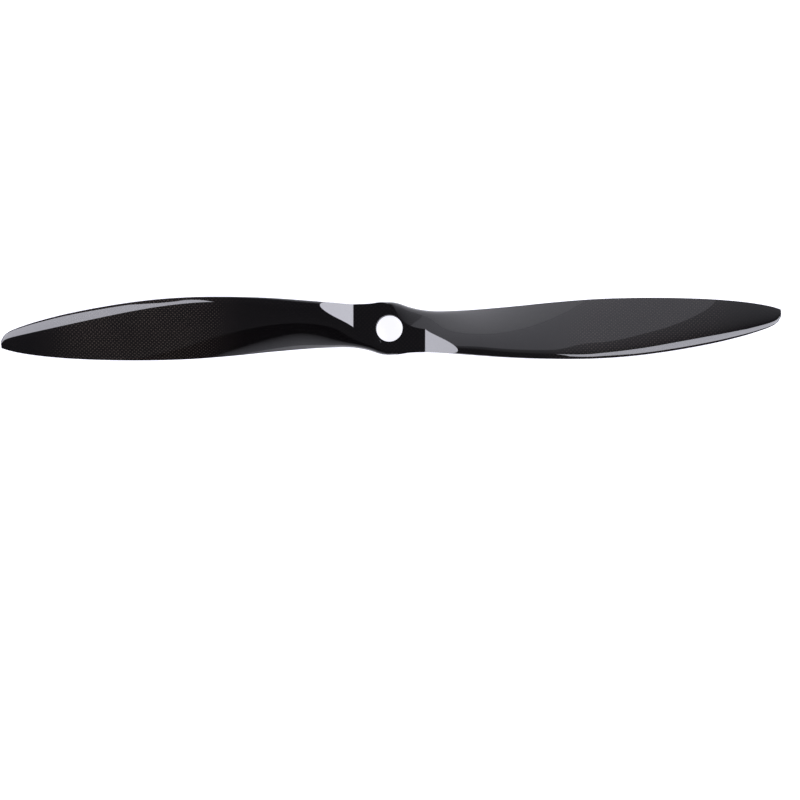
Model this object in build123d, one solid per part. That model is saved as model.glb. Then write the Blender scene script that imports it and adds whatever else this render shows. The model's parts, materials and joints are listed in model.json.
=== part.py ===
"""Two-blade moulded carbon propeller, 22 inches across, for a large model aircraft.

It is a fixed-pitch, left-hand propeller: seen from the front it turns clockwise. The row frame is:
+Z along the shaft axis towards the front, X along the blades, the origin at the bore's centre on
the back mounting face. Blade A points along +X with its leading edge towards -Y; blade B is blade A
turned half a turn about Z.

The propeller is laid up in a two-part mould. Every surface is therefore a height over the XY plane.
At a radius x the section runs from the leading edge (v = 0) to the trailing edge (v = 1) along the
pitch helix, and the front and back surfaces stand above and below that line. The pieces are:
- front_skin and back_skin: woven carbon laminates that meet at the edge all round;
- front_spar_cap and back_spar_cap: unidirectional carbon, tip to tip, lying round the bore;
- hub_block: the compressed carbon and resin block that the bore passes through;
- in each blade a dense foam spar core, lighter nose and tail cores, and a carbon tow in each edge seam.
"""

from build123d import *

import math
import os

# Overall sizes, in millimetres
DIAMETER = 22 * 25.4
PITCH = 22 * 25.4
BORE_R = 9.5
HUB_THICK = 15.0
MID_Z = HUB_THICK / 2  # height of the mould's parting plane at the hub

# The laminate
SKIN = 0.8
CAP = 0.7
HUB_SKIN = 1.0

# Where the pieces inside a blade begin and end
HUB_BLOCK_X = 34.0
SPAR_CORE_END_X = 222.0
CORE_END_X = 262.0
SEAM_INSET = 1.6
TOW_V = 0.1  # the seam tows take this share of the chord at each edge
SPAR_V = (0.22, 0.46)
HUB_CAP_V = (0.13, 0.87)

# The clamping pads milled into the mould at the hub, with a ramp at each end
PAD_HALF_LENGTH = 25.5
PAD_RAMP_DEG = 25.0
PAD_FOOT_R = 1.5
PARTING_DEPTH = 4.0  # the skins part at least this far below the pads

# Plan shape: distance of each edge from the X axis, by radius
LEADING_EDGE = [
    (0, 18.8), (6, 18.6), (14, 17.5), (22, 17.2), (32, 17.4), (58, 19.4), (86, 21.3), (115, 22.2),
    (144, 22.0), (172, 20.1), (201, 16.3), (230, 11.0), (251, 5.9), (265, 1.6), (273, -1.6),
    (277, -4.5), (DIAMETER / 2, -8.4),
]
TRAILING_EDGE = [
    (0, 18.8), (6, 18.2), (14, 15.7), (22, 14.0), (32, 13.1), (42, 13.2), (58, 13.9), (86, 16.2),
    (115, 19.1), (144, 21.3), (172, 22.2), (201, 22.1), (230, 21.0), (251, 19.2), (265, 17.2),
    (273, 15.5), (277, 14.3), (DIAMETER / 2, 13.5),
]
# Angle of the section to the plane of rotation near the hub; further out it follows the pitch
ROOT_ANGLE = [
    (0, 0.0), (8, 14.0), (18, 29.0), (30, 37.5), (45, 41.0), (70, 42.0), (100, 39.0), (125, 35.43),
    (150, 30.66), (175, 26.94), (200, 23.97),
]
HELIX_FROM_X = 175.0  # from here out the section angle is that of a plain helix of this pitch
# Greatest thickness, square to the section
THICKNESS = [
    (0, 19.0), (8, 18.4), (18, 15.6), (30, 12.6), (45, 10.6), (70, 8.6), (100, 6.9), (140, 5.6), (180, 4.8),
    (222, 3.9), (250, 3.0), (270, 2.0), (DIAMETER / 2, 1.4),
]
PITCH_AXIS_Y = -2.0  # the pitch helix crosses the parting plane on this line
CAMBER = 0.27  # rise of the mean line, as a share of the thickness
HUB_EDGE_FLAT = 3.0  # half height of the flat side wall at the hub
BLADE_EDGE_FLAT = 0.28  # half height of the sanded flat along a blade's edge
HUB_SHAPE_SQUARENESS = 2.0  # how square the hub's section is
HUB_SHAPE_X = (16.0, 70.0)  # the section changes from hub to aerofoil between these radii

STATIONS = [0, 5, 10, 16, 22, 28, 34, 42, 54, 72, 96, 118, 136, 154, 172, 190, 208, 228, 248, 262, 271, 276.5]
SURFACE_POINTS = 10
REACH = 60.0  # how far a cutting tool stands out beyond the propeller


def smooth(table, x):
    """The value at x of a smooth curve through the table's points."""
    last = len(table) - 1
    i = max(k for k in range(last) if table[k][0] <= x or k == 0)
    (x0, y0), (x1, y1) = table[i], table[i + 1]

    def slope(k):
        a, b = table[max(k - 1, 0)], table[min(k + 1, last)]
        return (b[1] - a[1]) / (b[0] - a[0])

    start = 0.0 if i == 0 else slope(i)  # both halves meet squarely at the hub's centre
    end = slope(i + 1)
    span = x1 - x0
    t = (x - x0) / span
    return (
        (1 + 2 * t) * (1 - t) ** 2 * y0
        + t * (1 - t) ** 2 * span * start
        + t * t * (3 - 2 * t) * y1
        - t * t * (1 - t) * span * end
    )


def ease(x, low, high):
    t = min(1.0, max(0.0, (x - low) / (high - low)))
    return t * t * (3 - 2 * t)


def section_angle(x):
    """Angle of the section to the plane of rotation, in radians."""
    if x >= HELIX_FROM_X:
        return math.atan(PITCH / (2 * math.pi * x))
    return math.radians(smooth(ROOT_ANGLE, x))


def edge_flat(x):
    """Half height of the flat along the edge."""
    return HUB_EDGE_FLAT + (BLADE_EDGE_FLAT - HUB_EDGE_FLAT) * ease(x, 4, 40)


def span_y(x, inset=0.0):
    """Y of the leading and trailing edges of blade A."""
    return -smooth(LEADING_EDGE, x) + inset, smooth(TRAILING_EDGE, x) - inset


def helix_z(x, y):
    return MID_Z - (y - PITCH_AXIS_Y * ease(x, 0, 30)) * math.tan(section_angle(x))


def half_shape(x, v):
    """Half thickness at v as a share of the greatest: square at the hub, an aerofoil in the blade."""
    aerofoil = 10 * (0.2969 * math.sqrt(v) - 0.1260 * v - 0.3516 * v**2 + 0.2843 * v**3 - 0.1036 * v**4)
    square = math.tanh(HUB_SHAPE_SQUARENESS * 2 * math.sqrt(v * (1 - v))) / math.tanh(HUB_SHAPE_SQUARENESS)
    blend = ease(x, *HUB_SHAPE_X)
    return square + (aerofoil - square) * blend


def mean_z(x, y):
    """Height of the mean line, which is also the surface the two skins part along."""
    le, te = span_y(x)
    v = (y - le) / (te - le)
    rise = CAMBER * ease(x, *HUB_SHAPE_X) * smooth(THICKNESS, x) / math.cos(section_angle(x))
    return helix_z(x, y) + rise * 4 * v * (1 - v)


def spline(points):
    """A curve through the points, with the same knots in every section, so the lofts stay simple."""
    return Edge.make_spline(points, parameters=[i / (len(points) - 1) for i in range(len(points))])


def parting_line(x):
    """Points along the mean line of blade A at x, running out past both edges."""
    le, te = span_y(x)
    ys = [le + v * (te - le) for v in (-0.3, 0, 0.25, 0.5, 0.75, 1, 1.3)]
    return [Vector(x, y, mean_z(x, y)) for y in ys]


def section(x, inset=0.0, edge_inset=0.0):
    """The closed outline of the section of blade A at radius x, inset from the outer surface."""
    le, te = span_y(x, edge_inset)
    flat = edge_flat(x) if inset == 0 else 0.1 + (edge_flat(x) - BLADE_EDGE_FLAT) * 0.8
    thick = (smooth(THICKNESS, x) / 2 - flat - inset) / math.cos(section_angle(x))
    front, back = [], []
    for i in range(SURFACE_POINTS + 1):
        v = (1 - math.cos(math.pi * i / SURFACE_POINTS)) / 2
        y = le + v * (te - le)
        half = thick * half_shape(x, v) + flat
        front.append(Vector(x, y, mean_z(x, y) + half))
        back.append(Vector(x, y, mean_z(x, y) - half))
    return Wire([
        spline(front),
        Edge.make_line(front[-1], back[-1]),
        spline(back[::-1]),
        Edge.make_line(back[0], front[0]),
    ])


def blade_loft(end_x, inset=0.0, edge_inset=0.0):
    """Blade A's half of the propeller, from the shaft axis out to end_x."""
    stations = [x for x in STATIONS if x < end_x - 2] + [end_x]
    return Solid.make_loft([section(x, inset, edge_inset) for x in stations])


def strip(v_low, v_high, start_x, end_x):
    """A tall wall over blade A's plan, between two shares of the chord."""
    stations = [start_x] + [x for x in STATIONS if start_x + 2 < x < end_x - 2] + [end_x]
    outlines = []
    for x in stations:
        le, te = span_y(x)
        low, high = (le + v * (te - le) for v in (v_low, v_high))
        corners = [(low, -REACH), (high, -REACH), (high, REACH), (low, REACH)]
        outlines.append(Wire.make_polygon([Vector(x, y, z) for y, z in corners]))
    return Solid.make_loft(outlines)


def front_side():
    """Everything over blade A in front of the parting surface: the mean line, kept between the pads."""
    outlines = []
    for x in STATIONS + [DIAMETER / 2 + 3]:
        bottom = parting_line(x)
        top = Vector(0, 0, REACH)
        outlines.append(Wire([
            spline(bottom),
            Edge.make_line(bottom[-1], bottom[-1] + top),
            Edge.make_line(bottom[-1] + top, bottom[0] + top),
            Edge.make_line(bottom[0] + top, bottom[0]),
        ]))
    front_pad, back_pad = both_pads(PARTING_DEPTH)
    return Solid.make_loft(outlines) + front_pad - back_pad


def pad_cutter(depth):
    """What is milled off the front of the hub, down to depth below the front face."""
    foot = HUB_THICK - depth
    run = REACH / math.tan(math.radians(PAD_RAMP_DEG))
    grow = depth * math.tan(math.radians(PAD_RAMP_DEG / 2))
    half = PAD_HALF_LENGTH + grow
    outline = Polygon(
        (-half, foot), (half, foot), (half + run, foot + REACH), (-half - run, foot + REACH), align=None
    )
    outline = fillet(outline.vertices().sort_by(Axis.Y)[:2], PAD_FOOT_R)
    return extrude(Plane.XZ * outline, REACH, both=True)


def both_pads(depth):
    front = pad_cutter(depth)
    back = front.rotate(Axis((0, 0, MID_Z), (0, 1, 0)), 180)
    return [front, back]


def turned(shape):
    """Blade A's piece turned into blade B's."""
    return shape.rotate(Axis.Z, 180)


def whole(half):
    """Both blades' halves as one solid."""
    return (half + turned(half)).solid()


def beyond(x):
    """Everything outboard of x on blade A."""
    return Pos(x + DIAMETER / 2, 0, 0) * Box(DIAMETER, DIAMETER, 4 * REACH)


def main():
    os.makedirs("parts", exist_ok=True)
    tip = DIAMETER / 2
    bore = Cylinder(BORE_R, 4 * REACH)

    outer = blade_loft(tip)
    inner = blade_loft(CORE_END_X, SKIN, SEAM_INSET)
    under_caps = blade_loft(SPAR_CORE_END_X, SKIN + CAP, SEAM_INSET + CAP)
    for cutter in both_pads(0):
        outer -= cutter
    for cutter in both_pads(HUB_SKIN):
        inner -= cutter
    for cutter in both_pads(HUB_SKIN + CAP):
        under_caps -= cutter

    front_half = front_side()

    # Skins
    shell = outer - inner
    front_skin = whole(shell & front_half) - bore
    back_skin = whole(shell - front_half) - bore

    # Spar caps: a strip along each blade, and a plate round the bore at the hub
    spar_strip = strip(*SPAR_V, HUB_BLOCK_X - 1, CORE_END_X + 1) & beyond(HUB_BLOCK_X)
    hub_plate = strip(*HUB_CAP_V, 0, HUB_BLOCK_X)
    cap_stock = (inner & (spar_strip + hub_plate)) - under_caps
    front_cap = whole(cap_stock & front_half) - bore
    back_cap = whole(cap_stock - front_half) - bore

    # The hub's block is what is left inside the skins between the caps
    hub_half = (inner - beyond(HUB_BLOCK_X)) - cap_stock
    hub_block = whole(hub_half) - bore

    # Fillings of one blade: the core between the caps, then what is ahead of it and behind it
    blade_inside = inner & beyond(HUB_BLOCK_X)
    ahead, behind = (blade_inside - spar_strip).solids().sort_by(Axis.Y)
    nose_edge = strip(-0.6, TOW_V, HUB_BLOCK_X - 1, CORE_END_X + 1)
    tail_edge = strip(1 - TOW_V, 1.6, HUB_BLOCK_X - 1, CORE_END_X + 1)
    fillings = {
        "spar_core": under_caps & beyond(HUB_BLOCK_X) & spar_strip,
        "nose_core": ahead - nose_edge,
        "tail_core": behind - tail_edge,
        "leading_edge_tow": ahead & nose_edge,
        "trailing_edge_tow": behind & tail_edge,
    }

    pieces = {
        "front_skin": front_skin,
        "back_skin": back_skin,
        "front_spar_cap": front_cap,
        "back_spar_cap": back_cap,
        "hub_block": hub_block,
    }
    for name, piece in fillings.items():
        pieces["blade_a_" + name] = piece
        pieces["blade_b_" + name] = turned(piece)
    for name, piece in pieces.items():
        export_step(piece, f"parts/{name}.step")


if __name__ == "__main__":
    main()
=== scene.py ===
import json
import math

import bmesh
import bpy
import numpy as np
from mathutils import Matrix, Vector

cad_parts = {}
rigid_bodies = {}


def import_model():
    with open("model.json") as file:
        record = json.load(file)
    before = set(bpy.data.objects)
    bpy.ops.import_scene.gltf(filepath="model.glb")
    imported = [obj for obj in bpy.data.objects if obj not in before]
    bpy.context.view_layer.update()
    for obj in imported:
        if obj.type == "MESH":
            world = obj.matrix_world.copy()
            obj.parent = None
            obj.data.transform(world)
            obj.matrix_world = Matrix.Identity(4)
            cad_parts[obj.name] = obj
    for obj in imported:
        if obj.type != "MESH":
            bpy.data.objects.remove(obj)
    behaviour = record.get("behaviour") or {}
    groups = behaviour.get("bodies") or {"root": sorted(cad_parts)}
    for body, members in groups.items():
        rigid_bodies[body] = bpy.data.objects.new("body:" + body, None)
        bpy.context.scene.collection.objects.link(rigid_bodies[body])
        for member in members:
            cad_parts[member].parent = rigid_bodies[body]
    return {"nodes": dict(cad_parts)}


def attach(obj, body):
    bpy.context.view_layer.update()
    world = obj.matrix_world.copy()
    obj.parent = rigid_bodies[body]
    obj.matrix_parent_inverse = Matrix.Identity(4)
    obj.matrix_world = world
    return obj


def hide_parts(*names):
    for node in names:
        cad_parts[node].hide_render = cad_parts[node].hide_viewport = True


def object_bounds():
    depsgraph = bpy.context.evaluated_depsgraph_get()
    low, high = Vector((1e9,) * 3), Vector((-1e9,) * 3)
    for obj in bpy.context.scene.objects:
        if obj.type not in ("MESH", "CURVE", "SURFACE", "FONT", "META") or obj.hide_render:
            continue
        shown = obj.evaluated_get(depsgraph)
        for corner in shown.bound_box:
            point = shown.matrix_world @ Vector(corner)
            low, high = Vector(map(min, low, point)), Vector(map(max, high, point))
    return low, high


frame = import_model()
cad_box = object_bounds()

# A two-blade moulded carbon propeller: its two woven skins are made here, the pieces inside them keep
# their CAD shape and get a material, and a camera, cards and a paper floor stand round it.
# The propeller's shape is worked out in millimetres, and becomes metres when a mesh is made.
MM = 0.001

# ---------------------------------------------------------------- the propeller's shape, as in part.py
DIAMETER = 22 * 25.4
PITCH = 22 * 25.4
BORE_R = 9.5
HUB_THICK = 15.0
MID_Z = HUB_THICK / 2  # height of the mould's parting plane at the hub
SKIN = 0.8
HUB_SKIN = 1.0
CORE_END_X = 262.0
SEAM_INSET = 1.6
PAD_HALF_LENGTH = 25.5
PAD_RAMP_DEG = 25.0
PAD_FOOT_R = 1.5
PARTING_DEPTH = 4.0  # the skins part at least this far below the pads
REACH = 60.0  # how far a cutting tool stands out beyond the propeller
# Distance of each edge from the X axis, by radius
LEADING_EDGE = [
    (0, 18.8), (6, 18.6), (14, 17.5), (22, 17.2), (32, 17.4), (58, 19.4), (86, 21.3), (115, 22.2),
    (144, 22.0), (172, 20.1), (201, 16.3), (230, 11.0), (251, 5.9), (265, 1.6), (273, -1.6),
    (277, -4.5), (DIAMETER / 2, -8.4),
]
TRAILING_EDGE = [
    (0, 18.8), (6, 18.2), (14, 15.7), (22, 14.0), (32, 13.1), (42, 13.2), (58, 13.9), (86, 16.2),
    (115, 19.1), (144, 21.3), (172, 22.2), (201, 22.1), (230, 21.0), (251, 19.2), (265, 17.2),
    (273, 15.5), (277, 14.3), (DIAMETER / 2, 13.5),
]
# Angle of the section to the plane of rotation near the hub; further out it follows the pitch, as the
# values from 125 on already do
ROOT_ANGLE = [
    (0, 0.0), (8, 14.0), (18, 29.0), (30, 37.5), (45, 41.0), (70, 42.0), (100, 39.0), (125, 35.43),
    (150, 30.66), (175, 26.94), (200, 23.97),
]
HELIX_FROM_X = 175.0  # from here out the section angle is that of a plain helix of this pitch
# Greatest thickness, square to the section
THICKNESS = [
    (0, 19.0), (8, 18.4), (18, 15.6), (30, 12.6), (45, 10.6), (70, 8.6), (100, 6.9), (140, 5.6), (180, 4.8),
    (222, 3.9), (250, 3.0), (270, 2.0), (DIAMETER / 2, 1.4),
]
PITCH_AXIS_Y = -2.0  # the pitch helix crosses the parting plane on this line
PITCH_AXIS_X = (0.0, 30.0)  # the helix moves out to that line between these radii
CAMBER = 0.27  # rise of the mean line, as a share of the thickness
HUB_EDGE_FLAT = 3.0  # half height of the flat side wall at the hub
BLADE_EDGE_FLAT = 0.28  # half height of the sanded flat along a blade's edge
EDGE_FLAT_X = (4.0, 40.0)  # the side wall narrows to the flat between these radii
HOLLOW_EDGE_FLAT = 0.1  # the same half height in the hollow, along a blade
HOLLOW_WALL_SHARE = 0.8  # how much of the hub's taller wall the hollow follows
HUB_SHAPE_SQUARENESS = 2.0  # how square the hub's section is
HUB_SHAPE_X = (16.0, 70.0)  # the section changes from hub to aerofoil between these radii


def smooth(table, x):
    """The values at x of a smooth curve through the table's points."""
    tx = np.array([p[0] for p in table], float)
    ty = np.array([p[1] for p in table], float)
    last = len(table) - 1
    slope = np.zeros(len(table))
    slope[1:last] = (ty[2:] - ty[:-2]) / (tx[2:] - tx[:-2])
    slope[last] = (ty[last] - ty[last - 1]) / (tx[last] - tx[last - 1])
    i = np.clip(np.searchsorted(tx, x, side="right") - 1, 0, last - 1)
    span = tx[i + 1] - tx[i]
    t = (x - tx[i]) / span
    return (
        (1 + 2 * t) * (1 - t) ** 2 * ty[i]
        + t * (1 - t) ** 2 * span * slope[i]
        + t * t * (3 - 2 * t) * ty[i + 1]
        - t * t * (1 - t) * span * slope[i + 1]
    )


def ease(x, low, high):
    """0 up to low, 1 from high on, and a smooth change between them."""
    t = np.clip((x - low) / (high - low), 0, 1)
    return t * t * (3 - 2 * t)


def section_angle(x):
    """Angle of the section to the plane of rotation, in radians."""
    far = np.arctan(PITCH / (2 * math.pi * np.maximum(x, 1.0)))
    return np.where(x >= HELIX_FROM_X, far, np.radians(smooth(ROOT_ANGLE, np.minimum(x, HELIX_FROM_X))))


def edge_flat(x):
    """Half height of the flat along the edge."""
    return HUB_EDGE_FLAT + (BLADE_EDGE_FLAT - HUB_EDGE_FLAT) * ease(x, *EDGE_FLAT_X)


def edges_y(x, inset=0.0):
    """Y of the leading and trailing edges of blade A."""
    return -smooth(LEADING_EDGE, x) + inset, smooth(TRAILING_EDGE, x) - inset


def helix_z(x, y):
    """Height of the pitch helix."""
    return MID_Z - (y - PITCH_AXIS_Y * ease(x, *PITCH_AXIS_X)) * np.tan(section_angle(x))


def half_shape(x, v):
    """Half thickness at v as a share of the greatest: square at the hub, an aerofoil in the blade."""
    # The thickness curve of the four-digit NACA sections
    aerofoil = 10 * (0.2969 * np.sqrt(v) - 0.1260 * v - 0.3516 * v**2 + 0.2843 * v**3 - 0.1036 * v**4)
    square = np.tanh(HUB_SHAPE_SQUARENESS * 2 * np.sqrt(v * (1 - v))) / math.tanh(HUB_SHAPE_SQUARENESS)
    return square + (aerofoil - square) * ease(x, *HUB_SHAPE_X)


def mean_z(x, y):
    """Height of the mean line, which is also the surface that the two skins part along."""
    le, te = edges_y(x)
    v = (y - le) / (te - le)
    rise = CAMBER * ease(x, *HUB_SHAPE_X) * smooth(THICKNESS, x) / np.cos(section_angle(x))
    return helix_z(x, y) + rise * 4 * v * (1 - v)


def blade_point(x, v, side, inset=0.0, edge_inset=0.0):
    """Blade A's surface point at radius x and chord share v, on the front (1) or back (-1)."""
    le, te = edges_y(x, edge_inset)
    y = le + v * (te - le)
    flat = edge_flat(x)
    if inset:
        flat = HOLLOW_EDGE_FLAT + (flat - BLADE_EDGE_FLAT) * HOLLOW_WALL_SHARE
    swell = (smooth(THICKNESS, x) / 2 - flat - inset) / np.cos(section_angle(x))
    half = swell * half_shape(x, v) + flat
    return np.stack([x + 0 * y, y, mean_z(x, y) + side * half], -1)


def both_blades(x, v, side, **inset):
    """The same for both blades: B is A turned half a turn, and v runs from -Y to +Y on both."""
    far = x < 0
    p = blade_point(np.abs(x), np.where(far, 1 - v, v), side, **inset)
    return np.where(far[..., None], p * np.array([-1, -1, 1.0]), p)


# ---------------------------------------------------------------- meshes
SURFACE, EDGE, PAD, CUT, INSIDE = range(5)  # the kinds of face that a skin has

# How finely a skin is meshed: rows of points up to ROOT_X, along the blade, and over TIP_LENGTH at the tip
ROOT_X = 70.0
ROOT_ROWS = 141
BLADE_ROWS = 151
TIP_LENGTH = 12.0
TIP_ROWS = 29
CHORD_POINTS = 73
BORE_POINTS = 192
FILLET_STEPS = 8

# The tool that parts the skins: radii that its rows go through, closest at the hub, and how far it goes
# past the edges, as shares of the chord
PARTING_X = [
    0, 5, 10, 16, 22, 28, 34, 42, 54, 72, 96, 122, 150, 178, 204, 228, 248, 262, 271, 276.5, 283.0,
]
ROWS_PER_STEP = 6
PARTING_V = (-0.3, 1.3)
PARTING_CHORD_POINTS = 33

SHARP_DEG = 16.0  # faces that meet at more than this keep a crisp edge
SLIVER = 0.0005  # edges shorter than this are left over from a boolean


def new_object(name, points, faces, kinds, uv):
    """An object from points in millimetres, with each face's kind and each point's cloth coordinates."""
    mesh = bpy.data.meshes.new(name)
    places = [tuple(p) for p in np.asarray(points) * MM]
    mesh.from_pydata(places, [], [tuple(int(i) for i in f) for f in faces])
    layer = mesh.uv_layers.new(name="cloth")
    corners = np.array([i for f in faces for i in f])
    layer.data.foreach_set("uv", np.asarray(uv, float)[corners].ravel())
    for material in KIND_MATERIALS:
        mesh.materials.append(material)
    mesh.polygons.foreach_set("material_index", np.asarray(kinds, np.int32))
    mesh.update()
    obj = bpy.data.objects.new(name, mesh)
    bpy.context.scene.collection.objects.link(obj)
    return obj


def cloth_uv(points):
    """Metres along the blade, and metres over the surface from the line y = 0."""
    step = np.linalg.norm(np.diff(points[..., 1:], axis=1), axis=-1)
    across = np.concatenate([np.zeros((len(points), 1)), np.cumsum(step, 1)], 1)
    zero = np.array([np.interp(0.0, points[i, :, 1], across[i]) for i in range(len(points))])
    return np.stack([points[..., 0], across - zero[:, None]], -1) * MM


def solid_faces(n, m, first_on_top):
    """Faces that close two grids of n by m points, one above the other: on the grids, and the walls."""
    index = np.arange(n * m).reshape(n, m)
    second = n * m
    turn = 1 if first_on_top else -1
    grid = np.stack([index[:-1, :-1], index[1:, :-1], index[1:, 1:], index[:-1, 1:]], -1).reshape(-1, 4)
    walls = []
    for line, order in ((index[:, 0], 1), (index[:, -1], -1), (index[0], -1), (index[-1], 1)):
        a, b = line[:-1], line[1:]
        corners = (a, a + second, b + second, b) if first_on_top else (a, b, b + second, a + second)
        walls += np.stack(corners, -1)[:, ::order].tolist()
    return grid[:, ::turn].tolist() + (grid[:, ::-turn] + second).tolist(), walls


def propeller_solid(name, end_x, kind, side_kind, **inset):
    """The whole propeller, or its hollow, as one closed mesh, before the hub is milled."""
    tip_x = end_x - TIP_LENGTH
    near = np.linspace(0, ROOT_X, ROOT_ROWS)
    blade = np.linspace(ROOT_X, tip_x, BLADE_ROWS)[1:]
    tip = tip_x + TIP_LENGTH * np.sin(np.linspace(0, math.pi / 2, TIP_ROWS))[1:]
    half = np.concatenate([near, blade, tip])
    xs = np.concatenate([-half[:0:-1], half])
    vs = (1 - np.cos(np.linspace(0, math.pi, CHORD_POINTS))) / 2
    x, v = np.meshgrid(xs, vs, indexing="ij")
    front, back = both_blades(x, v, 1, **inset), both_blades(x, v, -1, **inset)
    points = np.concatenate([front.reshape(-1, 3), back.reshape(-1, 3)])
    uv = np.concatenate([cloth_uv(front).reshape(-1, 2), cloth_uv(back).reshape(-1, 2)])
    surface, walls = solid_faces(*x.shape, first_on_top=True)
    kinds = [kind] * len(surface) + [side_kind] * len(walls)
    return new_object(name, points, surface + walls, kinds, uv)


def prism(name, outline, low, high, axis, kind):
    """A straight prism over a closed outline, of (x, z) points if it runs along Y, or (x, y) along Z."""
    n = len(outline)
    points = []
    for level in (low, high):
        for a, b in outline:
            points.append((a, level, b) if axis == "Y" else (a, b, level))
    faces = [tuple(range(n))[::-1], tuple(range(n, 2 * n))]
    faces += [(i, (i + 1) % n, n + (i + 1) % n, n + i) for i in range(n)]
    if axis == "Y":
        faces = [f[::-1] for f in faces]
    uv = [(p[0] * MM, p[1] * MM) for p in points]
    return new_object(name, points, faces, [kind] * len(faces), uv)


def pad_outline(depth):
    """Profile in XZ of what is milled off the hub's front: a flat pad, with a fillet and a ramp each way."""
    ramp = math.radians(PAD_RAMP_DEG)
    foot = HUB_THICK - depth
    half = PAD_HALF_LENGTH + depth * math.tan(ramp / 2)
    back = PAD_FOOT_R * math.tan(ramp / 2)
    arc = []
    for i in range(FILLET_STEPS + 1):
        a = ramp * i / FILLET_STEPS
        arc.append((half - back + PAD_FOOT_R * math.sin(a), foot + PAD_FOOT_R * (1 - math.cos(a))))
    far = (half + REACH / math.tan(ramp), foot + REACH)
    right = arc + [far]
    return right + [(-x, z) for x, z in right[::-1]]


def pad_cutters(depth, kind):
    """What is milled off the hub, front and back. A depth above 0 goes that much further in."""
    outline = pad_outline(depth)
    turned_over = [(x, HUB_THICK - z) for x, z in outline[::-1]]
    front = prism("front_pad_cutter", outline, -REACH, REACH, "Y", kind)
    back = prism("back_pad_cutter", turned_over, -REACH, REACH, "Y", kind)
    return [front, back]


def front_tool():
    """Everything in front of the surface that the skins part along."""
    steps = len(PARTING_X) - 1
    rows = np.linspace(0, steps, steps * ROWS_PER_STEP + 1)
    half = np.interp(rows, np.arange(steps + 1), PARTING_X)
    xs = np.concatenate([-half[:0:-1], half])
    x, v = np.meshgrid(xs, np.linspace(*PARTING_V, PARTING_CHORD_POINTS), indexing="ij")
    far = x < 0
    r = np.abs(x)
    le, te = edges_y(r)
    ya = le + np.where(far, 1 - v, v) * (te - le)
    bottom = np.stack([x, np.where(far, -ya, ya), mean_z(r, ya)], -1)
    top = bottom + np.array([0, 0, REACH])
    points = np.concatenate([bottom.reshape(-1, 3), top.reshape(-1, 3)])
    surface, walls = solid_faces(*x.shape, first_on_top=False)
    faces = surface + walls
    tool = new_object("front_tool", points, faces, [INSIDE] * len(faces), [(0, 0)] * len(points))
    front_pad, back_pad = pad_cutters(PARTING_DEPTH, INSIDE)
    return carve(tool, [("UNION", front_pad), ("DIFFERENCE", back_pad)])


def carve(obj, steps):
    """Applies booleans, each an operation and its tool, to obj in turn."""
    for operation, tool in steps:
        modifier = obj.modifiers.new("carve", "BOOLEAN")
        modifier.operation = operation
        modifier.object = tool
        modifier.solver = "MANIFOLD"
        depsgraph = bpy.context.evaluated_depsgraph_get()
        mesh = bpy.data.meshes.new_from_object(obj.evaluated_get(depsgraph), depsgraph=depsgraph)
        obj.modifiers.clear()
        old = obj.data
        obj.data = mesh
        bpy.data.meshes.remove(old)
    return obj


def clean(mesh):
    """Collapses the slivers of no area that the booleans leave."""
    edit = bmesh.new()
    edit.from_mesh(mesh)
    bmesh.ops.dissolve_degenerate(edit, dist=SLIVER * MM, edges=edit.edges)
    edit.to_mesh(mesh)
    edit.free()


def surface_normals(points, side):
    """Normals of the moulded front or back surface, from its formulas, at points on it in millimetres."""
    x, y = points[:, 0], points[:, 1]
    r, ya = np.abs(x), np.where(x < 0, -y, y)
    le, te = edges_y(r)
    v = np.clip((ya - le) / (te - le), 0, 1)
    # The section stands upright at its edges, so the slope is taken a little inside them
    margin, small_x, small_angle = 0.02, 0.05, 0.002
    angle = np.clip(np.arccos(1 - 2 * np.where(x < 0, 1 - v, v)), margin, math.pi - margin)

    def at(dx, da):
        return both_blades(x + dx, (1 - np.cos(angle + da)) / 2, side)

    along = at(small_x, 0) - at(-small_x, 0)
    across = at(0, small_angle) - at(0, -small_angle)
    normal = np.cross(along, across)
    normal /= np.linalg.norm(normal, axis=1, keepdims=True)
    return normal * (np.sign(normal[:, 2:3]) * side)


def shade(obj):
    """Smooth shading, crisp at the milled edges, with normals from the formulas on the moulded surfaces."""
    mesh = obj.data
    mesh.polygons.foreach_set("use_smooth", np.ones(len(mesh.polygons), bool))
    mesh.set_sharp_from_angle(angle=math.radians(SHARP_DEG))
    count = len(mesh.loops)
    normals = np.zeros(count * 3, np.float32)
    mesh.corner_normals.foreach_get("vector", normals)
    normals = normals.reshape(-1, 3)
    vertex = np.zeros(count, np.int32)
    mesh.loops.foreach_get("vertex_index", vertex)
    points = np.zeros(len(mesh.vertices) * 3, np.float32)
    mesh.vertices.foreach_get("co", points)
    points = points.reshape(-1, 3) / MM
    kind = np.zeros(len(mesh.polygons), np.int32)
    mesh.polygons.foreach_get("material_index", kind)
    size = np.zeros(len(mesh.polygons), np.int32)
    mesh.polygons.foreach_get("loop_total", size)
    facing = np.zeros(len(mesh.polygons) * 3, np.float32)
    mesh.polygons.foreach_get("normal", facing)
    up = np.repeat(facing.reshape(-1, 3)[:, 2], size)
    moulded = np.repeat(kind == SURFACE, size)
    for side in (1, -1):
        pick = moulded & (up * side > 0)
        normals[pick] = surface_normals(points[vertex[pick]], side)
    mesh.normals_split_custom_set([tuple(n) for n in normals.tolist()])
    mesh.update()


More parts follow.
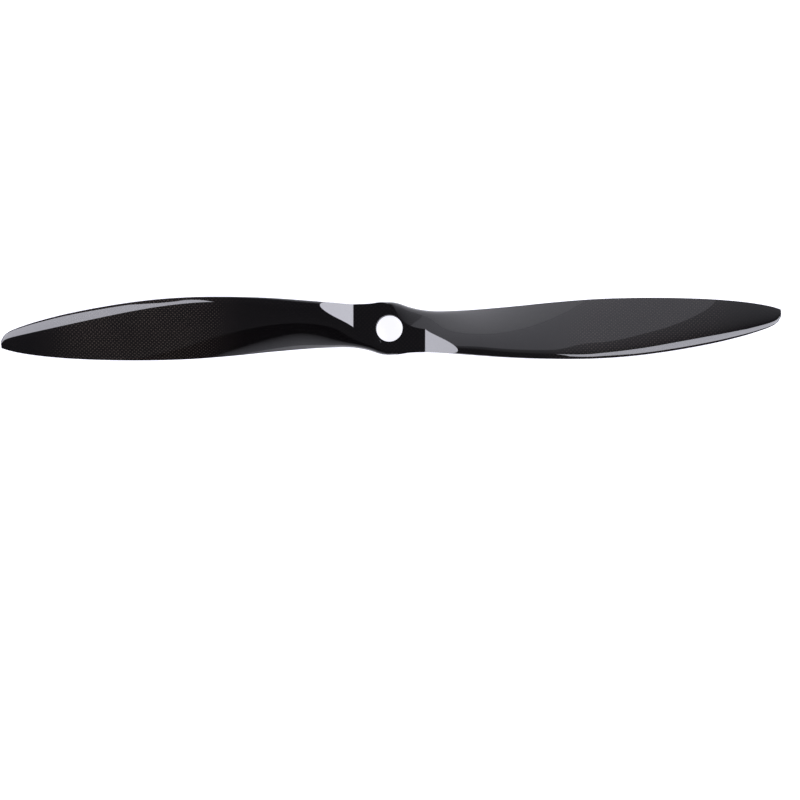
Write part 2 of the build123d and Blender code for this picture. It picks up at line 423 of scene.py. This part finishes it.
# ---------------------------------------------------------------- materials
class Nodes:
    """Short calls for making shader nodes."""

    def __init__(self, name):
        self.material = bpy.data.materials.new(name)
        self.material.use_nodes = True
        self.tree = self.material.node_tree
        self.shader = self.tree.nodes["Principled BSDF"]

    def link(self, value, socket):
        """Sets a plain value on the socket, or links a node's output to it."""
        if isinstance(value, (int, float, tuple)):
            socket.default_value = value
        else:
            self.tree.links.new(value, socket)

    def math(self, operation, a, b=0.0, c=0.0):
        node = self.tree.nodes.new("ShaderNodeMath")
        node.operation = operation
        for value, socket in zip((a, b, c), node.inputs):
            self.link(value, socket)
        return node.outputs[0]

    def mix(self, factor, a, b):
        """From colour a to colour b. A mix node's colours are its sockets 6 and 7, and its output 2."""
        node = self.tree.nodes.new("ShaderNodeMix")
        node.data_type = "RGBA"
        for value, key in ((factor, 0), (a, 6), (b, 7)):
            self.link(value, node.inputs[key])
        return node.outputs[2]

    def blend(self, factor, a, b):
        """From number a to number b. A mix node's numbers are its sockets 2 and 3, and its output 0."""
        node = self.tree.nodes.new("ShaderNodeMix")
        for value, key in ((factor, 0), (a, 2), (b, 3)):
            self.link(value, node.inputs[key])
        return node.outputs[0]

    def noise(self, vector, scale, detail=2.0, rough=0.5):
        node = self.tree.nodes.new("ShaderNodeTexNoise")
        node.inputs["Scale"].default_value = scale
        node.inputs["Detail"].default_value = detail
        node.inputs["Roughness"].default_value = rough
        self.tree.links.new(vector, node.inputs["Vector"])
        return node.outputs["Fac"]

    def ramp(self, value, low, high):
        """0 up to low, 1 from high on, and a smooth change between them."""
        node = self.tree.nodes.new("ShaderNodeMapRange")
        node.inputs["From Min"].default_value = low
        node.inputs["From Max"].default_value = high
        node.interpolation_type = "SMOOTHSTEP"
        self.link(value, node.inputs["Value"])
        return node.outputs[0]

    def place(self):
        """The point's own place in the object, in metres."""
        node = self.tree.nodes.new("ShaderNodeTexCoord")
        return node.outputs["Object"]

    def stretched(self, vector, scale):
        node = self.tree.nodes.new("ShaderNodeMapping")
        node.inputs["Scale"].default_value = scale
        self.tree.links.new(vector, node.inputs["Vector"])
        return node.outputs[0]

    def bump(self, height, strength, distance):
        node = self.tree.nodes.new("ShaderNodeBump")
        node.inputs["Strength"].default_value = strength
        node.inputs["Distance"].default_value = distance
        self.tree.links.new(height, node.inputs["Height"])
        return node.outputs[0]

    def set(self, **values):
        """Fills the shader's sockets, named with _ for a space, and gives the material back."""
        for key, value in values.items():
            self.link(value, self.shader.inputs[key.replace("_", " ")])
        return self.material


TOW_WIDTH = 1.5 * MM
TOW_WANDER = 0.9  # the range over which a tow strays from its line, in tow widths
SHEEN_FADES_IN = (0.10, 0.15)  # distances from the hub's centre between which the painted sheen on the weave comes in
SHEEN_FADES_OUT = (0.215, 0.262)  # and between which it fades towards the tip
BLADE_A_FROM_X = (-0.05, 0.05)  # across the hub, where blade B's stronger painted sheen turns into blade A's
BLADE_A_LESS_SHEEN = 0.4  # how much less painted sheen the weave has on blade A
FIBRES_ALONG_BLADE = (400.0, 9000.0, 1.0)  # how finely noise is drawn along and across the blade
FIBRES_ACROSS_BLADE = (9000.0, 400.0, 1.0)


def woven(name, coat_roughness):
    """Clear-coated plain-weave carbon, laid by the mesh's cloth coordinates, with a painted sheen in its
    colour that is strongest in mid blade.
    """
    n = Nodes(name)
    uv = n.tree.nodes.new("ShaderNodeUVMap")
    uv.uv_map = "cloth"
    split = n.tree.nodes.new("ShaderNodeSeparateXYZ")
    n.tree.links.new(uv.outputs[0], split.inputs[0])
    cloth = uv.outputs[0]
    stray_u = n.noise(cloth, 38.0)
    stray_v = n.noise(n.stretched(cloth, (1.0, -1.0, 1.0)), 33.0)
    wander_u = n.math("MULTIPLY", n.math("SUBTRACT", stray_u, 0.5), TOW_WANDER)
    wander_v = n.math("MULTIPLY", n.math("SUBTRACT", stray_v, 0.5), TOW_WANDER)
    u = n.math("ADD", n.math("DIVIDE", split.outputs[0], TOW_WIDTH), wander_u)
    v = n.math("ADD", n.math("DIVIDE", split.outputs[1], TOW_WIDTH), wander_v)
    fu, fv = n.math("FRACT", u), n.math("FRACT", v)
    parity = n.math("MODULO", n.math("ADD", n.math("FLOOR", u), n.math("FLOOR", v)), 2.0)
    warp = n.math("GREATER_THAN", n.math("ABSOLUTE", parity), 0.5)
    su = n.math("SINE", n.math("MULTIPLY", fu, math.pi))
    sv = n.math("SINE", n.math("MULTIPLY", fv, math.pi))
    warp_crown = n.math("MULTIPLY", n.math("POWER", sv, 0.5), n.math("MULTIPLY_ADD", su, 0.5, 0.5))
    weft_crown = n.math("MULTIPLY", n.math("POWER", su, 0.5), n.math("MULTIPLY_ADD", sv, 0.5, 0.5))
    crown = n.blend(warp, weft_crown, warp_crown)
    fibre_u = n.noise(n.stretched(cloth, FIBRES_ALONG_BLADE), 1.0, 3.0)
    fibre_v = n.noise(n.stretched(cloth, FIBRES_ACROSS_BLADE), 1.0, 3.0)
    fibre = n.blend(warp, fibre_v, fibre_u)
    # Painted highlight: the crowns of the tows are painted lighter, as where light catches them
    painted_glint = n.math("MULTIPLY", n.math("POWER", crown, 2.5), n.math("MULTIPLY_ADD", fibre, 0.8, 0.5))
    # Painted sheen: tows along the blade are painted four times lighter than tows across it
    tone = n.math("MULTIPLY", painted_glint, n.blend(warp, 0.25, 1.0))
    patch = n.noise(n.place(), 22.0, 2.0)
    tone = n.math("MULTIPLY", tone, n.math("MULTIPLY_ADD", patch, 0.8, 0.5))
    # Painted sheen by place: strongest in mid blade, fading at the hub and the tip, and weaker on blade A
    where = n.tree.nodes.new("ShaderNodeSeparateXYZ")
    n.tree.links.new(n.place(), where.inputs[0])
    along = n.math("ABSOLUTE", where.outputs[0])
    before_tip = n.math("SUBTRACT", 1.0, n.ramp(along, *SHEEN_FADES_OUT))
    shows = n.math("MULTIPLY", n.ramp(along, *SHEEN_FADES_IN), before_tip)
    less = n.math("MULTIPLY", n.ramp(where.outputs[0], *BLADE_A_FROM_X), BLADE_A_LESS_SHEEN)
    shows = n.math("MULTIPLY", shows, n.math("SUBTRACT", 1.0, less))
    tone = n.math("MULTIPLY", tone, n.math("MULTIPLY_ADD", shows, 0.85, 0.15))
    # From near black to the brown of lit fibre: the lighter colour is painted sheen
    colour = n.mix(tone, (0.0010, 0.0009, 0.0014, 1.0), (0.050, 0.040, 0.033, 1.0))
    tangent = n.tree.nodes.new("ShaderNodeTangent")
    tangent.direction_type = "UV_MAP"
    tangent.uv_map = "cloth"
    n.link(tangent.outputs[0], n.shader.inputs["Tangent"])
    return n.set(
        Base_Color=colour,
        Roughness=n.math("MULTIPLY_ADD", fibre, 0.14, 0.3),
        Anisotropic=0.6,
        Anisotropic_Rotation=n.blend(warp, 0.25, 0.0),
        Specular_IOR_Level=0.01,
        Normal=n.bump(crown, 0.35, 0.00012),
        Coat_Weight=1.0,
        Coat_Roughness=coat_roughness,
        Coat_IOR=1.5,
        Coat_Normal=n.bump(n.noise(n.place(), 14.0, 1.0), 0.05, 0.001),
    )


def sanded_edge():
    """The flat sanded along the edges, matt and nearly black."""
    n = Nodes("sanded_edge")
    grain = n.noise(n.stretched(n.place(), (60.0, 60.0, 2500.0)), 1.0, 4.0)
    return n.set(
        Base_Color=n.mix(grain, (0.002, 0.002, 0.002, 1.0), (0.010, 0.009, 0.009, 1.0)),
        Roughness=n.math("MULTIPLY_ADD", grain, 0.2, 0.5),
        Specular_IOR_Level=0.25,
        Normal=n.bump(grain, 0.3, 0.0001),
    )


def cut_laminate():
    """The drilled wall of the bore: plies on edge."""
    n = Nodes("cut_laminate")
    plies = n.noise(n.stretched(n.place(), (30.0, 30.0, 3200.0)), 1.0, 3.0)
    return n.set(
        Base_Color=n.mix(plies, (0.004, 0.004, 0.004, 1.0), (0.030, 0.026, 0.023, 1.0)),
        Roughness=n.math("MULTIPLY_ADD", plies, 0.25, 0.4),
        Normal=n.bump(plies, 0.4, 0.0001),
    )


def laminate_inside():
    """The rough resin face of a skin on its inner side."""
    n = Nodes("laminate_inside")
    rough = n.noise(n.place(), 900.0, 4.0)
    return n.set(
        Base_Color=n.mix(rough, (0.004, 0.004, 0.004, 1.0), (0.018, 0.017, 0.016, 1.0)),
        Roughness=0.6,
        Normal=n.bump(rough, 0.5, 0.0001),
    )


def unidirectional():
    """Carbon fibre that all runs along the blade, for the spar caps."""
    n = Nodes("unidirectional")
    streak = n.noise(n.stretched(n.place(), (12.0, 3500.0, 3500.0)), 1.0, 4.0)
    return n.set(
        Base_Color=n.mix(streak, (0.004, 0.004, 0.005, 1.0), (0.04, 0.038, 0.036, 1.0)),
        Roughness=n.math("MULTIPLY_ADD", streak, 0.2, 0.3),
        Normal=n.bump(streak, 0.4, 0.0001),
    )


def moulding():
    """Compressed chopped carbon in epoxy, with a machined bore."""
    n = Nodes("moulding")
    chips = n.tree.nodes.new("ShaderNodeTexVoronoi")
    chips.inputs["Scale"].default_value = 260.0
    n.tree.links.new(n.stretched(n.place(), (1.0, 0.5, 2.4)), chips.inputs["Vector"])
    grain = n.noise(n.place(), 2400.0, 3.0)
    tone = n.math("MULTIPLY", chips.outputs["Distance"], n.math("ADD", grain, 0.5))
    return n.set(
        Base_Color=n.mix(tone, (0.004, 0.004, 0.004, 1.0), (0.045, 0.041, 0.037, 1.0)),
        Roughness=n.math("MULTIPLY_ADD", tone, 0.3, 0.35),
        Normal=n.bump(grain, 0.3, 0.0001),
    )


def foam(name, colour, cell):
    """Closed-cell foam. A larger cell number makes smaller cells."""
    n = Nodes(name)
    cells = n.tree.nodes.new("ShaderNodeTexVoronoi")
    cells.inputs["Scale"].default_value = cell
    n.tree.links.new(n.place(), cells.inputs["Vector"])
    dark = tuple(c * 0.6 for c in colour)
    return n.set(
        Base_Color=n.mix(cells.outputs["Distance"], (*dark, 1.0), (*colour, 1.0)),
        Roughness=0.85,
        Normal=n.bump(cells.outputs["Distance"], 0.6, 0.0002),
    )


def tow():
    """A bundle of carbon fibre along an edge seam."""
    n = Nodes("tow")
    streak = n.noise(n.stretched(n.place(), (40.0, 6000.0, 6000.0)), 1.0, 3.0)
    return n.set(
        Base_Color=n.mix(streak, (0.006, 0.006, 0.006, 1.0), (0.05, 0.048, 0.045, 1.0)),
        Roughness=0.45,
        Normal=n.bump(streak, 0.5, 0.0001),
    )


# In the order of the kinds of face: SURFACE, EDGE, PAD, CUT, INSIDE
KIND_MATERIALS = [
    woven("woven_carbon", 0.015),
    sanded_edge(),
    woven("woven_carbon_pad", 0.03),
    cut_laminate(),
    laminate_inside(),
]

# ---------------------------------------------------------------- the skins
outer = propeller_solid("outer", DIAMETER / 2, SURFACE, EDGE)
hollow = propeller_solid("hollow", CORE_END_X, INSIDE, INSIDE, inset=SKIN, edge_inset=SEAM_INSET)
hollow = carve(hollow, [("DIFFERENCE", cutter) for cutter in pad_cutters(HUB_SKIN, INSIDE)])
turn = np.linspace(0, 2 * math.pi, BORE_POINTS + 1)[:-1]
bore = [(BORE_R * math.cos(a), BORE_R * math.sin(a)) for a in turn]
drill = prism("drill", bore, -REACH, REACH, "Z", CUT)
outer = carve(outer, [("DIFFERENCE", cutter) for cutter in (*pad_cutters(0, PAD), hollow, drill)])
parting = front_tool()
front_skin = outer.copy()
front_skin.data = outer.data.copy()
bpy.context.scene.collection.objects.link(front_skin)
front_skin = carve(front_skin, [("INTERSECT", parting)])
back_skin = carve(outer, [("DIFFERENCE", parting)])
for obj, name in ((front_skin, "front_skin_laminate"), (back_skin, "back_skin_laminate")):
    obj.name = name
    obj.data.name = name
used = [o for o in bpy.data.objects if o.name in ("hollow", "drill", "front_tool") or "cutter" in o.name]
for tool in used:
    bpy.data.objects.remove(tool)
for obj, node in ((front_skin, "front_skin"), (back_skin, "back_skin")):
    clean(obj.data)
    shade(obj)
    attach(obj, "root")
    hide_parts(node)

inner_materials = {
    "spar_cap": unidirectional(),
    "hub_block": moulding(),
    "spar_core": foam("spar_foam", (0.50, 0.38, 0.22), 1500.0),
    "nose_core": foam("core_foam", (0.78, 0.74, 0.62), 900.0),
    "edge_tow": tow(),
}
inner_materials["tail_core"] = inner_materials["nose_core"]
for name, node in frame["nodes"].items():
    for ending, material in inner_materials.items():
        if name.endswith(ending):
            node.data.materials.clear()
            node.data.materials.append(material)

# ---------------------------------------------------------------- camera, floor and light
CAMERA_PLACE = (0.03319, -0.05173, 1.36308)
CAMERA_YAW, CAMERA_PITCH, CAMERA_ROLL = 0.01896, -0.00051, 0.00101  # radians
SENSOR_WIDTH = 36.0
FOCAL_LENGTH = 85.401
CARD_COLOUR = (0.9, 0.9, 1.0, 1.0)
CARD_Z = 1.363  # the softboxes hang at the camera's height
FLOOR_HALF_WIDTH = 6.0
FLOOR_PAINTED_LIGHT = (1.02, 0.25)  # painted light on the paper: its glow near the propeller and far from it
FLOOR_PAINTED_LIGHT_FADES = (0.42, 1.1)  # distances between which it goes from one to the other
WORLD_FOR_LIGHT = 0.11  # the world's brightness as it lights the propeller and shows in its gloss
WORLD_FOR_CAMERA = 1.0  # and as the camera sees it

camera_data = bpy.data.cameras.new("camera")
camera_data.sensor_width = SENSOR_WIDTH
camera_data.lens = FOCAL_LENGTH
camera_data.clip_start = 0.01
camera_data.clip_end = 50.0
camera = bpy.data.objects.new("camera", camera_data)
roll = Matrix.Rotation(CAMERA_ROLL, 3, "Z")
pitch = Matrix.Rotation(CAMERA_PITCH, 3, "X")
yaw = Matrix.Rotation(-CAMERA_YAW, 3, "Y")
camera_axes = (roll @ pitch @ yaw).transposed()
camera.matrix_world = Matrix.Translation(CAMERA_PLACE) @ camera_axes.to_4x4()
bpy.context.scene.collection.objects.link(camera)
bpy.context.scene.camera = camera


def card(name, corners, strength, slope=(0.0, 0.0, 0.0), diffuse=False):
    """A flat glowing card that the camera doesn't see. Its brightness is strength + slope . place, or 0.

    It shows in the propeller's gloss, and lights its matt surfaces too if diffuse is on.
    """
    mesh = bpy.data.meshes.new(name)
    mesh.from_pydata([Vector(c) for c in corners], [], [tuple(range(len(corners)))])
    material = bpy.data.materials.new(name)
    material.use_nodes = True
    tree = material.node_tree
    tree.nodes.clear()
    emission = tree.nodes.new("ShaderNodeEmission")
    emission.inputs["Color"].default_value = CARD_COLOUR
    place = tree.nodes.new("ShaderNodeTexCoord")
    along = tree.nodes.new("ShaderNodeVectorMath")
    along.operation = "DOT_PRODUCT"
    along.inputs[1].default_value = slope
    tree.links.new(place.outputs["Object"], along.inputs[0])
    total = tree.nodes.new("ShaderNodeMath")
    total.inputs[1].default_value = strength
    tree.links.new(along.outputs["Value"], total.inputs[0])
    at_least_0 = tree.nodes.new("ShaderNodeMath")
    at_least_0.operation = "MAXIMUM"
    at_least_0.inputs[1].default_value = 0.0
    tree.links.new(total.outputs[0], at_least_0.inputs[0])
    tree.links.new(at_least_0.outputs[0], emission.inputs["Strength"])
    output = tree.nodes.new("ShaderNodeOutputMaterial")
    tree.links.new(emission.outputs[0], output.inputs[0])
    mesh.materials.append(material)
    obj = bpy.data.objects.new(name, mesh)
    bpy.context.scene.collection.objects.link(obj)
    obj.visible_camera = False
    obj.visible_shadow = False
    obj.visible_diffuse = diffuse
    obj.visible_transmission = False


def upright(left, right, y, top):
    """Corners of a card that stands on the floor, square to Y."""
    return [(left, y, floor_z), (right, y, floor_z), (right, y, top), (left, y, top)]


floor_z = cad_box[0].z - 0.0002
left_outline = [(-1.9, -0.80), (-1.9, 0.55), (-0.80, 0.15), (-0.70, 0.0), (-0.64, -0.35), (-0.60, -0.80)]
right_outline = [
    (0.50, 0.86), (0.58, 0.76), (0.68, 0.62), (1.9, 0.62), (1.9, -0.40), (0.62, 0.0), (0.52, 0.35),
]
card("left_softbox", [(x, y, CARD_Z) for x, y in left_outline], 6.8, (-3.4, 0.0, 0.0), diffuse=True)
card("right_softbox", [(x, y, CARD_Z) for x, y in right_outline], 5.4, (6.2, 0.0, 0.0), diffuse=True)
card("back_card", upright(-1.5, 0.335, 0.8, 0.65), 1.3)
card("back_wall", upright(-1.7, 2.1, 1.1, 2.0), 0.99, (0.0, 0.0, -0.45))
# A low black card along the propeller's -Y side, and a card on the floor by blade B whose glow is a painted
# shadow, darker towards the black card
dark_half = 0.3
dark_y = -0.083
card("dark_card", upright(-dark_half, dark_half, dark_y, floor_z + 0.026), 0.0)
shade_z = floor_z + 0.0001
shade_y = -0.026
shade_corners = [(-dark_half, dark_y), (0.0, dark_y), (0.0, shade_y), (-dark_half, shade_y)]
card("shade_card", [(x, y, shade_z) for x, y in shade_corners], 1.05, (0.0, 12.0, 0.0))

floor_mesh = bpy.data.meshes.new("floor")
wide = FLOOR_HALF_WIDTH
floor_corners = [(x, y, floor_z) for x, y in ((-wide, -wide), (wide, -wide), (wide, wide), (-wide, wide))]
floor_mesh.from_pydata(floor_corners, [], [(0, 1, 2, 3)])
floor = bpy.data.objects.new("floor", floor_mesh)
bpy.context.scene.collection.objects.link(floor)
# The paper's glow is painted light: a pool that is brightest round the propeller and keeps the floor white
# where shadows would fall
paper = Nodes("paper")
spot = paper.tree.nodes.new("ShaderNodeVectorMath")
spot.operation = "LENGTH"
paper.tree.links.new(paper.place(), spot.inputs[0])
away = paper.ramp(spot.outputs["Value"], *FLOOR_PAINTED_LIGHT_FADES)
paper.set(
    Base_Color=(0.35, 0.35, 0.35, 1.0),
    Roughness=0.9,
    Specular_IOR_Level=0.0,
    Emission_Color=(0.92, 0.92, 1.0, 1.0),
    Emission_Strength=paper.blend(away, *FLOOR_PAINTED_LIGHT),
)
floor_mesh.materials.append(paper.material)

world = bpy.data.worlds.new("studio")
bpy.context.scene.world = world
world.use_nodes = True
background = world.node_tree.nodes["Background"]
rays = world.node_tree.nodes.new("ShaderNodeLightPath")
seen = world.node_tree.nodes.new("ShaderNodeMapRange")
seen.inputs["To Min"].default_value = WORLD_FOR_LIGHT
seen.inputs["To Max"].default_value = WORLD_FOR_CAMERA
world.node_tree.links.new(rays.outputs["Is Camera Ray"], seen.inputs["Value"])
world.node_tree.links.new(seen.outputs[0], background.inputs["Strength"])
background.inputs["Color"].default_value = (0.90, 0.90, 1.0, 1.0)

bpy.context.scene.view_settings.view_transform = "Standard"
bpy.context.scene.view_settings.look = "None"
